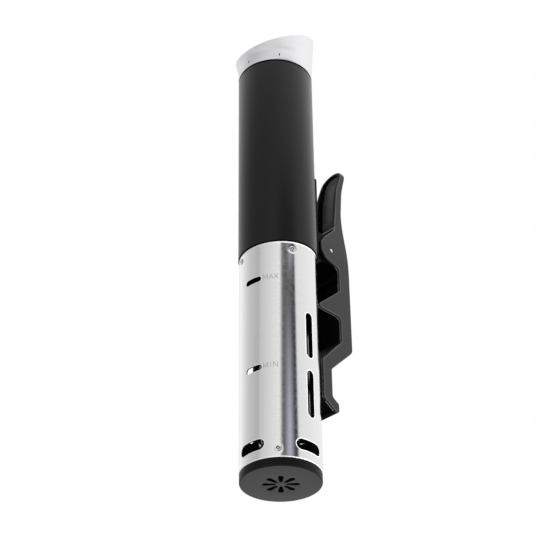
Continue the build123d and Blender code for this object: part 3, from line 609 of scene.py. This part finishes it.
# Dry side: the motor on its moulded mount, and a frame that carries the power board with its heat sink,
# relay, transformer and capacitor. The collar holds the display board, and the sleeve closes all of it in.
motor_zinc = brushed("motor_zinc", (0.35, 0.36, 0.37), (400, 400, 400), 0.4, 0.1)
board_green = moulded("board_green", (0.03, 0.14, 0.06), (0.02, 0.10, 0.04), 0.4)
part_black = moulded("part_black", (0.03, 0.03, 0.03), (0.02, 0.02, 0.02), 0.4)
dress(motor_zinc, "motor", "heat_sink", "board_capacitor")
dress(board_green, "power_board", "display_board")
dress(part_black, "board_transformer", "board_relay", "digit_module", "buzzer")
dress(wet_nylon, "motor_mount", "inner_frame", "display_frame")


# Grip sleeve: a straight moulded tube with a soft matt skin, pushed over the bulkhead. Its foot is cut on
# the slant of the joint, and a narrow neck sits below the collar. The foot's rounded edge and the neck are
# painted black as shade.
sleeve_radius = 0.0307
sleeve_bore = 0.0287
sleeve_foot = 0.1912
sleeve_head = 0.3715
sleeve_round = 0.0004
neck_radius = 0.0301
neck_height = 0.0015
skin_sheen = 0.34
tube_steps = 192


def lean_ends(bm, slope, lowest, highest):
    """Slant what lies between two heights, so that it rises towards +Y."""
    for vert in bm.verts:
        if lowest < vert.co.z < highest:
            vert.co.z += slope * vert.co.y


def level_rings(bm, spots):
    """The rings of edges of a spun shape at given (radius, height) spots."""
    def on_spot(vert, radius, height):
        return math.hypot(vert.co.xy.length - radius, vert.co.z - height) < near
    return [e for e in bm.edges if any(all(on_spot(v, *spot) for v in e.verts) for spot in spots)]


def soften(bm, spots, offset, segments=3):
    """Round the rings of edges at given spots."""
    bmesh.ops.bevel(bm, geom=level_rings(bm, spots), offset=offset, offset_type="OFFSET", segments=segments,
                    profile=0.5, affect="EDGES", material=-1)


def make_sleeve():
    bm = bmesh.new()
    shoulder = sleeve_head - neck_height
    corners = [(sleeve_bore, sleeve_foot), (sleeve_radius, sleeve_foot), (sleeve_radius, shoulder),
               (neck_radius, shoulder), (neck_radius, sleeve_head), (sleeve_bore, sleeve_head)]
    spun(bm, corners + corners[:1], tube_steps)
    close_skin(bm)
    soften(bm, corners[1:3], sleeve_round)
    # Painted shade: the rounded foot and the neck get the near-black finish, for the shadow lines.
    for face in bm.faces:
        heights = [vert.co.z for vert in face.verts]
        shaded_gap = max(heights) < sleeve_foot + sleeve_round + near or min(heights) > shoulder - weld_gap
        face.material_index = int(shaded_gap)
    lean_ends(bm, joint_slope, 0, (sleeve_foot + sleeve_head) / 2)
    return bm


sleeve_skin = moulded("sleeve_skin", (0.0042, 0.0042, 0.0045), (0.0033, 0.0033, 0.0036), 0.33, grain=3400.0,
                      depth=0.2, specular=0.22)
skin_shader = sleeve_skin.node_tree.nodes["Principled BSDF"]
for sheen in ("Sheen Weight", "Sheen Roughness"):
    skin_shader.inputs[sheen].default_value = skin_sheen
# Painted shade: near black for the gap lines at the sleeve's foot and neck and under the collar.
painted_gap_shade = moulded("painted_gap_shade", (0.002, 0.002, 0.002), (0.001, 0.001, 0.001), 0.7, specular=0.03)
piece("sleeve_shell", make_sleeve(), [sleeve_skin, painted_gap_shade], "housing", "sleeve_plastic", "grip_sleeve")


# Top collar: satin aluminium, turned and flared, and cut off on the slant of the display. Its spigot is
# pushed into the sleeve, where two catches show through the band as dark flecks.
collar_radius = 0.0310
collar_band_top = 0.3820
collar_top = 0.4040
collar_rim = 0.0332
display_slope = 0.503
lens_seat_radius = 0.0303
lens_seat_depth = 0.0036
collar_cavity = 0.0268
collar_spigot_foot = 0.3635
collar_spigot_radius = 0.0286
collar_base_round = 0.0007
collar_band_round = 0.0012
collar_rim_round = 0.0005
faces_down = -0.9
catch_angles = (-37.8, -89.5)
catch_height = 0.3765
catch_size = (0.0004, 0.0010, 0.0028)


def make_collar():
    bm = bmesh.new()
    base, band = (collar_radius, sleeve_head), (collar_radius, collar_band_top)
    rim, lip = (collar_rim, collar_top), (lens_seat_radius, collar_top)
    seat_height = collar_top - lens_seat_depth
    outline = [base, band, rim, lip, (lens_seat_radius, seat_height), (collar_cavity, seat_height),
               (collar_cavity, collar_spigot_foot), (collar_spigot_radius, collar_spigot_foot),
               (collar_spigot_radius, sleeve_head)]
    spun(bm, outline + [base], tube_steps)
    close_skin(bm)
    soften(bm, [base], collar_base_round)
    soften(bm, [band], collar_band_round)
    soften(bm, [rim, lip], collar_rim_round)
    # Painted shade: the collar's downward faces get the near-black gap finish.
    for face in bm.faces:
        face.material_index = int(face.normal.z < faces_down)
    lean_ends(bm, display_slope, (collar_band_top + collar_top) / 2, 1)
    return bm


def make_catches():
    bm = bmesh.new()
    for angle in catch_angles:
        place = Matrix.Translation((collar_radius, 0, catch_height)) @ Matrix.Diagonal((*catch_size, 1))
        bmesh.ops.create_uvsphere(bm, u_segments=16, v_segments=10, radius=0.5,
                                  matrix=Matrix.Rotation(math.radians(angle), 4, "Z") @ place)
    return bm


collar_metal = brushed("collar_metal", (0.93, 0.93, 0.95), (60, 60, 4200), 0.4, 0.06)
catch_nylon = moulded("catch_nylon", (0.03, 0.03, 0.03), (0.02, 0.02, 0.02), 0.6)
piece("collar_shell", make_collar(), [collar_metal, painted_gap_shade], "housing", "collar_metal", "top_collar")
piece("collar_catches", make_catches(), [catch_nylon], "housing", "inner_plastic")


# Display: a disc of smoked glass on a rubber seal in the slanted rim, with lit seven-bar figures and two
# plain touch signs behind it.
lens_radius = 0.0302
lens_top = 0.4036
lens_bottom = 0.4012
lens_round = 0.0004
figures = "60.0"
bars_of = {"0": "abcdef", "6": "acdefg"}
figure_width = 0.0062
figure_height = 0.0110
figure_gap = 0.0032
bar_width = 0.0011
bar_rise = 0.00006
bar_end_gap = 0.00011
point_radius = 0.00066
sign_place = (0.014, -0.0155)
sign_reach = 0.002


def make_lens():
    bm = bmesh.new()
    upper, lower = (lens_radius, lens_top), (lens_radius, lens_bottom)
    spun(bm, [(0, lens_bottom), lower, upper, (0, lens_top)], tube_steps)
    close_skin(bm)
    soften(bm, [upper], lens_round)
    lean_ends(bm, display_slope, 0, 1)
    return bm


def bar(bm, x0, y0, x1, y1):
    """One thin bar with pointed ends on the face of the lens."""
    run = Vector((x1 - x0, y1 - y0))
    lean = Matrix.Rotation(math.atan2(run.y, run.x), 4, "Z")
    middle = Matrix.Translation(((x0 + x1) / 2, (y0 + y1) / 2, 0))
    made = bmesh.ops.create_circle(bm, cap_ends=True, segments=6, radius=1.0,
                                   matrix=Matrix.Rotation(math.pi / 2, 4, "Z"))["verts"]
    half = run.length / 2 - bar_end_gap
    for vert in made:
        pointed = abs(vert.co.y) < near
        vert.co.x = math.copysign(half if pointed else half - bar_width / 2, vert.co.x)
        vert.co.y = 0 if pointed else math.copysign(bar_width / 2, vert.co.y)
    bmesh.ops.transform(bm, verts=made, matrix=middle @ lean)


def make_figures():
    bm = bmesh.new()
    digits = figures.replace(".", "")
    left = -(len(digits) * figure_width + (len(digits) - 1) * figure_gap) / 2
    half = figure_height / 2
    for digit in digits:
        right = left + figure_width
        ends = {
            "a": (left, half, right, half), "b": (right, 0, right, half), "c": (right, -half, right, 0),
            "d": (left, -half, right, -half), "e": (left, -half, left, 0), "f": (left, 0, left, half),
            "g": (left, 0, right, 0),
        }
        for label in bars_of[digit]:
            bar(bm, *ends[label])
        left = right + figure_gap
    point = Matrix.Translation((figure_width / 2 + figure_gap / 2, -half, 0))
    bmesh.ops.create_circle(bm, cap_ends=True, segments=16, radius=point_radius, matrix=point)
    across, low = sign_place
    for sign in (-across, across):
        bar(bm, sign - sign_reach, low, sign + sign_reach, low)
    bar(bm, across, low - sign_reach, across, low + sign_reach)
    thick = bmesh.ops.extrude_face_region(bm, geom=bm.faces[:])["geom"]
    raised = [item for item in thick if isinstance(item, bmesh.types.BMVert)]
    bmesh.ops.translate(bm, verts=raised, vec=(0, 0, bar_rise))
    bmesh.ops.recalc_face_normals(bm, faces=bm.faces)
    bmesh.ops.translate(bm, verts=bm.verts, vec=(0, 0, lens_top - bar_rise / 2))
    lean_ends(bm, display_slope, 0, 1)
    return bm


smoked_glass = moulded("smoked_glass", (0.006, 0.006, 0.007), (0.005, 0.005, 0.006), 0.1, depth=0.0,
                       specular=0.5)
lit_bars = moulded("lit_bars", (0.55, 0.75, 0.85), (0.45, 0.65, 0.78), 0.4, depth=0.0)
lit_shader = lit_bars.node_tree.nodes["Principled BSDF"]
lit_colour = lit_shader.inputs["Base Color"].links[0].from_socket
lit_bars.node_tree.links.new(lit_colour, lit_shader.inputs["Emission Color"])
lit_shader.inputs["Emission Strength"].default_value = 0.6
piece("lens_glass", make_lens(), [smoked_glass], "housing", "lens_black", "display_lens")
piece("display_figures", make_figures(), [lit_bars], "housing", "lens_black")
dress(black_rubber, "lens_seal", "cord_gland")


# Clip bracket: a moulded nylon saddle, held on the back of the sleeve by small steel screws. Its two ears
# stand out on each side of the lever and carry the hinge pin.
# Painted shade: the bracket gets a near-black tone, much darker than the lever's nylon, so it reads as
# shadowed.
bracket_shade_nylon = moulded("bracket_shade_nylon", (0.007, 0.007, 0.007), (0.004, 0.004, 0.004), 0.6, specular=0.06)
dress(bracket_shade_nylon, "clip_bracket")
dress(screw_steel, "bracket_screws")


# Hinge pin and spring: a bright steel pin with rounded ends through the ears and the lever, and a torsion
# spring of black wire wound round it. One leg bears on the bracket, the other turns with the lever.
pin_low, pin_high = (Vector(corner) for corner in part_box("clip_pin"))
pin_radius = (pin_high.z - pin_low.z) / 2
pin_axis = (pin_low + pin_high) / 2
pin_round = 0.0006
pin_steps = 48


def make_pin():
    bm = bmesh.new()
    half = (pin_high.x - pin_low.x) / 2
    ends = [(pin_radius, -half), (pin_radius, half)]
    spun(bm, [(0, -half), *ends, (0, half)], pin_steps)
    close_skin(bm)
    soften(bm, ends, pin_round)
    place = Matrix.Translation(pin_axis) @ Matrix.Rotation(math.pi / 2, 4, "Y")
    bmesh.ops.transform(bm, verts=bm.verts, matrix=place)
    return bm


def make_spring():
    bm = bmesh.new()
    bm.from_mesh(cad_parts["clip_spring"].data)
    weld(bm)
    return bm


pin_steel = brushed("pin_steel", (0.85, 0.84, 0.83), (900, 900, 900), 0.3, 0.05)
spring_steel = brushed("spring_steel", (0.12, 0.12, 0.12), (900, 900, 900), 0.35, 0.05)
piece("hinge_pin", make_pin(), [pin_steel], "housing", "machined_steel", "clip_pin")
spring = piece("torsion_spring", make_spring(), [spring_steel], None, "spring_steel", "clip_spring")
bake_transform(spring)


# Clip lever: one moulding of glass-filled nylon, a channel with two side plates, a thumb paddle and a jaw.
# Its outer faces have a fine matt grain, its rounded edges carry a painted highlight, and the hollows between
# the plates are painted black as shade. The paddle's tray floor is one soft curve, painted lighter as light,
# and the tray ends in a lip with a painted highlight.
plate_edge = 0.0012
arm_half_width = 0.0160
paddle_half_width = 0.0115
pin_height = pin_low.z + pin_radius
waist_low = pin_height - 0.0108
waist_high = pin_height + 0.0432
paddle_shoulder = pin_height + 0.0842
tray_line = [(pin_height + rise, depth) for rise, depth in
             ((0.0285, 0.0622), (0.0450, 0.0617), (0.0680, 0.0635), (0.0944, 0.0700))]
tray_foot = tray_line[0][0]
tray_bend = 0.010
bend_steps = 5
floor_gap = 0.0002
lip_height = 0.0011
lip_low = tray_foot - lip_height
tray_cut_gap = 0.003
tray_cuts = [tray_foot + tray_cut_gap * i for i in range(23)]
paddle_rim = 0.0020
paddle_inner = paddle_half_width - paddle_rim
edge_turn = (0.15, 0.97)
front_turn = -0.7
back_turn = 0.3
plate_thick = 0.0026
plate_inner = arm_half_width - plate_thick
plate_line = 0.0005


def depth_inside(point):
    """How far a point lies inside the lever's outline as seen from behind."""
    share = min(max((point.z - waist_low) / (waist_high - waist_low), 0), 1)
    half_width = arm_half_width + (paddle_half_width - arm_half_width) * share * share * (3 - 2 * share)
    return half_width - math.hypot(point.x, max(point.z - paddle_shoulder, 0))


def tray_floor(height, blend):
    """Where the tray's floor lies at a height, with its flat lengths blended into one curve."""
    total = 0
    steps = range(-bend_steps, bend_steps + 1)
    for step in steps:
        level = height + blend * step / bend_steps
        i = next((i for i in range(1, len(tray_line)) if tray_line[i][0] > level), len(tray_line) - 1)
        (z0, y0), (z1, y1) = tray_line[i - 1], tray_line[i]
        total += y0 + (y1 - y0) * (level - z0) / (z1 - z0)
    return total / len(steps)


def make_lever():
    bm = bmesh.new()
    hollow_shade_finish, tray_light_finish, lip_highlight_finish, edge_highlight_finish = 1, 2, 3, 4
    bm.from_mesh(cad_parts["clip_lever"].data)
    weld(bm)
    for height in [lip_low + near, *tray_cuts]:
        cut(bm, (0, 0, height), (0, 0, 1))
    line_top = plate_inner + plate_line
    # The cuts at paddle_inner bound a painted shade strip along the paddle rim's inner edge; those at
    # line_top bound a painted highlight line on the plates.
    for across in (-paddle_inner, -line_top, paddle_inner, line_top):
        cut(bm, (across, 0, 0), (1, 0, 0))
    bm.normal_update()
    floor_verts = set()
    for face in bm.faces:
        spots = [vert.co for vert in face.verts]
        front, sideways = face.normal.y < front_turn, abs(face.normal.x)
        in_line = all(plate_inner - near < abs(spot.x) < line_top + near for spot in spots)
        # Painted light: the tray floor's faces get a tone several times the lever's.
        if front and all(abs(spot.y - tray_floor(spot.z, 0)) < floor_gap for spot in spots):
            floor_verts.update(face.verts)
            face.material_index = tray_light_finish
        # Painted highlight: the tray's lower lip, and a thin line along the plates' inner edges below the
        # waist.
        elif front and all(lip_low < spot.z < tray_foot + near for spot in spots):
            face.material_index = lip_highlight_finish
        elif in_line and sideways < edge_turn[0] and all(spot.z < waist_low for spot in spots):
            face.material_index = lip_highlight_finish
        # Painted shade: the hollows between the plates, and the rim's inner strip, get the near-black finish.
        elif face.normal.y < back_turn and all(depth_inside(spot) > plate_edge for spot in spots):
            face.material_index = hollow_shade_finish
        # Painted highlight: the rounded edge faces get a lighter tone.
        elif edge_turn[0] < sideways < edge_turn[1]:
            face.material_index = edge_highlight_finish
    for vert in floor_verts:
        vert.co.y = tray_floor(vert.co.z, tray_bend)
    return bm


clip_nylon = moulded("clip_nylon", (0.030, 0.030, 0.031), (0.026, 0.026, 0.027), 0.6, specular=0.2)
# Painted light: a much lighter tone for the tray floor in its recess.
tray_light_nylon = moulded("tray_light_nylon", (0.15, 0.15, 0.153), (0.135, 0.135, 0.138), 0.5, specular=0.2)
# Painted highlight: a light tone for the tray's lip and the plate edge lines.
lip_highlight_nylon = moulded("lip_highlight_nylon", (0.34, 0.34, 0.34), (0.28, 0.28, 0.28), 0.4, specular=0.4)
# Painted highlight: a lighter tone for the lever's rounded edges.
edge_highlight_nylon = moulded("edge_highlight_nylon", (0.085, 0.085, 0.087), (0.075, 0.075, 0.077), 0.5, specular=0.3)
# Painted shade: near black for the hollows between the plates.
hollow_shade_nylon = moulded("hollow_shade_nylon", (0.003, 0.003, 0.003), (0.002, 0.002, 0.002), 0.6, specular=0.05)
clip_finishes = [clip_nylon, hollow_shade_nylon, tray_light_nylon, lip_highlight_nylon, edge_highlight_nylon]
piece("lever_moulding", make_lever(), clip_finishes, "clip_lever", "clip_plastic", "clip_lever")
dress(black_rubber, "jaw_pad")


# Studio: a pale floor that shows only from above, a white surround and soft lamps, and a ring of grey
# panels that only glossy surfaces see, so that the steel has something to reflect.
floor_size = 3.0
floor_drop = 0.0006
floor_cloud_scale = 40.0
floor_tones = ((0.92, 0.92, 0.92, 1), (0.94, 0.94, 0.94, 1))


def stage_piece(name, bm, material, *unseen_by):
    """Make a shaped mesh a part of the stage that some kinds of ray don't see."""
    mesh = bpy.data.meshes.new(name)
    bm.to_mesh(mesh)
    bm.free()
    mesh.materials.append(material)
    made = bpy.data.objects.new(name, mesh)
    bpy.context.scene.collection.objects.link(made)
    for ray in unseen_by:
        setattr(made, "visible_" + ray, False)


def make_floor_paint():
    paint = bpy.data.materials.new("floor_paint")
    paint.use_nodes = True
    tree = paint.node_tree
    shader = tree.nodes["Principled BSDF"]
    cloud = noise(tree, add(tree, "TexCoord").outputs["Object"], floor_cloud_scale, 4.0)
    tree.links.new(mixed(tree, cloud, *floor_tones), shader.inputs["Base Color"])
    shader.inputs["Roughness"].default_value = 0.8
    below = add(tree, "NewGeometry").outputs["Backfacing"]
    clear = add(tree, "BsdfTransparent").outputs[0]
    sided = add(tree, "MixShader", None, {0: below, 1: shader.outputs[0], 2: clear})
    tree.links.new(sided.outputs[0], tree.nodes["Material Output"].inputs["Surface"])
    return paint


def make_floor():
    bm = bmesh.new()
    bmesh.ops.create_grid(bm, x_segments=1, y_segments=1, size=floor_size)
    bmesh.ops.translate(bm, verts=bm.verts, vec=(0, 0, -floor_drop))
    return bm


stage_piece("floor", make_floor(), make_floor_paint(), "shadow", "diffuse", "glossy")

wall_radius = 0.6
wall_foot = 0.034
wall_join = 0.605
wall_head = 1.6
wall_steps = 96
wall_slant = 28.0
slant_bearings = (-35.0, 5.0)
slant_level = 0.43
lower_tones = [
    (-180, 1.0), (-140, 0.65), (-105, 0.5), (-99, 0.62), (-43, 0.92), (-36, 0.17), (-29, 0.12), (-16, 0.11),
    (2, 0.05), (7, 0.85), (60, 0.95), (118, 0.98), (124, 0.2), (144, 0.15), (150, 0.95), (180, 1.0),
]
upper_tones = [
    (-175, 0.8), (-130, 0.4), (-95, 0.57), (-45, 0.71), (-34, 0.97), (0, 0.94), (40, 1.0), (180, 0.8),
]
lower_glows = [(-17, 15, 0.33, 0.52, (0.36, 0.38, 0.47)), (-9, 15, 0.575, 0.525, (0.30, 0.31, 0.38))]


def reflected_wall(name, profile, tones, glows=()):
    """A ring of grey panels round the stick, seen only in glossy surfaces. A tone is (bearing, grey), and a
    glow is (bearing, half width, height where it is full, height where it ends, colour)."""
    paint = bpy.data.materials.new(name)
    paint.use_nodes = True
    tree = paint.node_tree
    tree.nodes.clear()
    place = add(tree, "SeparateXYZ", None, {0: add(tree, "TexCoord").outputs["Object"]}).outputs
    bearing = reckon(tree, "DEGREES", reckon(tree, "ARCTAN2", place["Y"], place["X"]))
    slant = span(tree, bearing, wall_slant, 0.0, *slant_bearings)
    lean = reckon(tree, "MULTIPLY", slant, reckon(tree, "SUBTRACT", place["Z"], slant_level))
    upright = reckon(tree, "SUBTRACT", bearing, lean)
    share = span(tree, upright, 0.0, 1.0, -180.0, 180.0)
    ramp = add(tree, "ValToRGB", None, {0: share})
    stops = ramp.color_ramp.elements
    while len(stops) < len(tones):
        stops.new(0.5)
    for stop, (angle, grey) in zip(stops, tones):
        stop.position = (angle + 180) / 360
        stop.color = (grey, grey, grey, 1)
    colour = ramp.outputs[0]
    for angle, half_width, full, ended, tint in glows:
        apart = reckon(tree, "ABSOLUTE", reckon(tree, "SUBTRACT", upright, angle))
        across = span(tree, apart, 0.0, 1.0, half_width, 0.0, "SMOOTHSTEP")
        along = span(tree, place["Z"], 0.0, 1.0, ended, full)
        amount = reckon(tree, "MULTIPLY", across, along)
        colour = mixed(tree, amount, colour, (*tint, 1), "ADD")
    glow = add(tree, "Emission", None, {"Color": colour, "Strength": 1.0})
    add(tree, "OutputMaterial", None, {"Surface": glow.outputs[0]})
    bm = bmesh.new()
    spun(bm, profile, wall_steps)
    stage_piece(name, bm, paint, "camera", "diffuse", "shadow", "transmission")


lower_profile = [(wall_foot, 0), (wall_radius, 0), (wall_radius, wall_join)]
upper_profile = [(wall_radius, wall_join), (wall_radius, wall_head)]
reflected_wall("lower_wall", lower_profile, lower_tones, lower_glows)
reflected_wall("upper_wall", upper_profile, upper_tones)


def lamp(name, place, aim, size, energy):
    data = bpy.data.lights.new(name, "AREA")
    data.shape = "SQUARE"
    data.size = size
    data.energy = energy
    made = bpy.data.objects.new(name, data)
    bpy.context.scene.collection.objects.link(made)
    made.location = place
    made.rotation_euler = (Vector(aim) - Vector(place)).to_track_quat("-Z", "Y").to_euler()
    made.visible_glossy = False


lamp("key_lamp", (1.5, 0.45, 0.6), (0, 0, 0.2), 1.2, 37)
lamp("fill_lamp", (-1.2, -1.4, 0.6), (0, 0, 0.2), 1.4, 2)
lamp("under_lamp", (0.6, -0.6, -1.3), (0, 0, 0.1), 1.2, 10)

sky_light = 0.45
world = bpy.data.worlds.new("studio")
bpy.context.scene.world = world
world.use_nodes = True
sky = world.node_tree
sky.nodes.clear()
path = add(sky, "LightPath").outputs
seen = reckon(sky, "MAXIMUM", path["Is Camera Ray"], path["Is Glossy Ray"])
shown = reckon(sky, "MAXIMUM", seen, path["Is Transmission Ray"])
light = add(sky, "Background", None, {"Color": (1, 1, 1, 1), "Strength": sky_light})
white = add(sky, "Background", None, {"Color": (1, 1, 1, 1), "Strength": 1.0})
both = add(sky, "MixShader", None, {0: shown, 1: light.outputs[0], 2: white.outputs[0]})
add(sky, "OutputWorld", None, {"Surface": both.outputs[0]})

camera_lens = 103.85
camera_sensor = 36.0
camera_bearing = 45.5
camera_place = (-0.00763, -0.9985, -0.4806)
camera_pitch = 123.67
camera_roll = -0.58
camera_data = bpy.data.cameras.new("camera")
camera_data.lens = camera_lens
camera_data.sensor_width = camera_sensor
camera = bpy.data.objects.new("camera", camera_data)
bpy.context.scene.collection.objects.link(camera)
camera.matrix_world = (
    Matrix.Rotation(math.radians(camera_bearing), 4, "Z")
    @ Matrix.Translation(camera_place)
    @ Matrix.Rotation(math.radians(camera_pitch), 4, "X")
    @ Matrix.Rotation(math.radians(camera_roll), 4, "Z")
)
bpy.context.scene.camera = camera
bpy.context.scene.view_settings.view_transform = "Standard"
